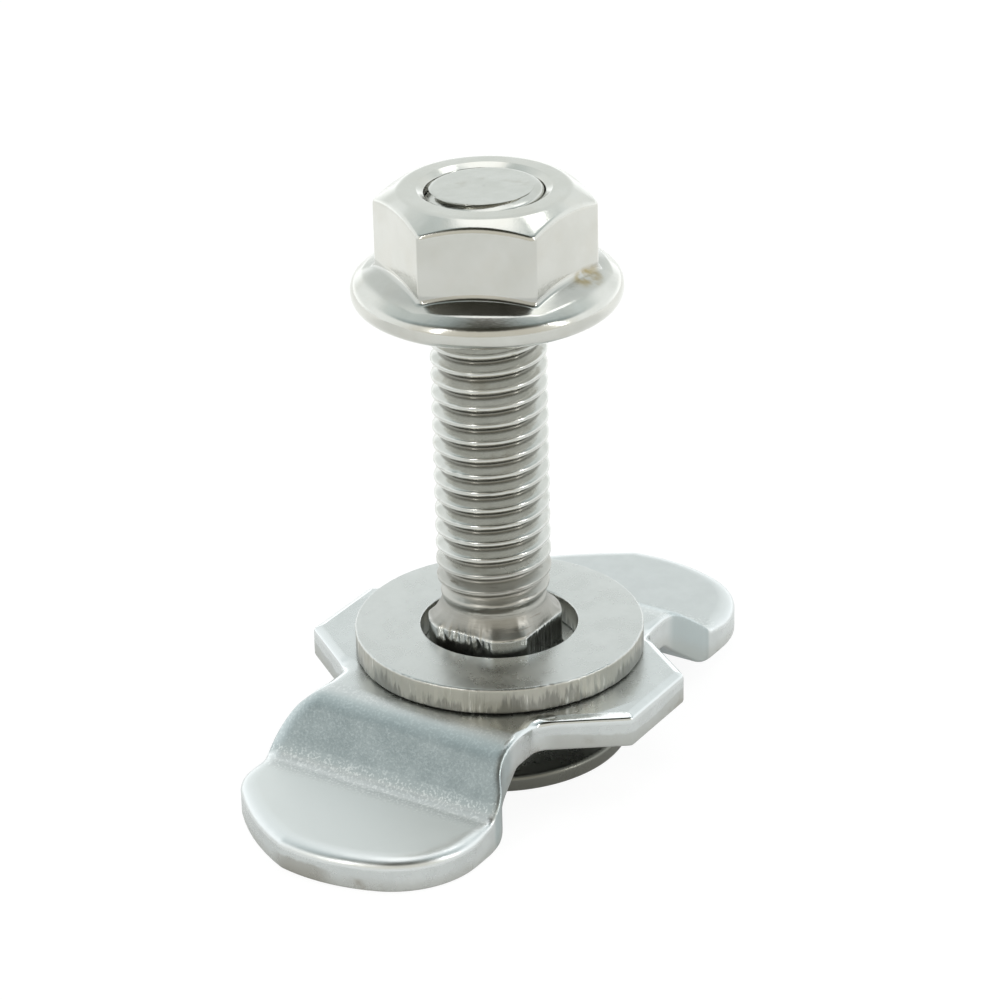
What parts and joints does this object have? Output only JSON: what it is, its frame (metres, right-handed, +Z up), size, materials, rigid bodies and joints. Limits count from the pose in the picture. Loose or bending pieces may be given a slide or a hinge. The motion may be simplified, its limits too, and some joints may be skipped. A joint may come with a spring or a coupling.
{
  "type": "threaded stud",
  "caption": "Threaded stud with a wide round head and keyed neck, a joggled locking plate, a loose flat washer and a flange nut, for clamping a bracket to a slotted track.",
  "frame": {"origin": "middle of the underside of the round head, in the plane that the head and both tabs stand on", "axes": "+Z up the stud towards the nut, +X along the locking plate from tab to tab, +Y across the ears"},
  "size_m": [0.0468, 0.026, 0.0406],
  "materials": {
    "stud_steel": "bright plated, rolled thread",
    "plate_steel": "bright plated, tumbled sheet",
    "washer_steel": "bright plated, satin",
    "nut_steel": "bright plated, smooth"
  },
  "bodies": {
    "stud": {"stud": "stud_steel"},
    "plate": {"locking_plate": "plate_steel"},
    "washer": {"flat_washer": "washer_steel"},
    "nut": {"flange_nut": "nut_steel"}
  },
  "joints": [
    {"name": "plate_lift", "type": "slide", "parent": "stud", "child": "plate", "axis": [0, 0, 1], "range_m": [0, 0.005]},
    {"name": "washer_lift", "type": "slide", "parent": "plate", "child": "washer", "axis": [0, 0, 1], "range_m": [0, 0.019]},
    {"name": "nut_turn", "type": "hinge", "parent": "stud", "child": "nut", "pos_m": [0, 0, 0.0325], "axis": [0, 0, 1], "continuous": true}
  ]
}
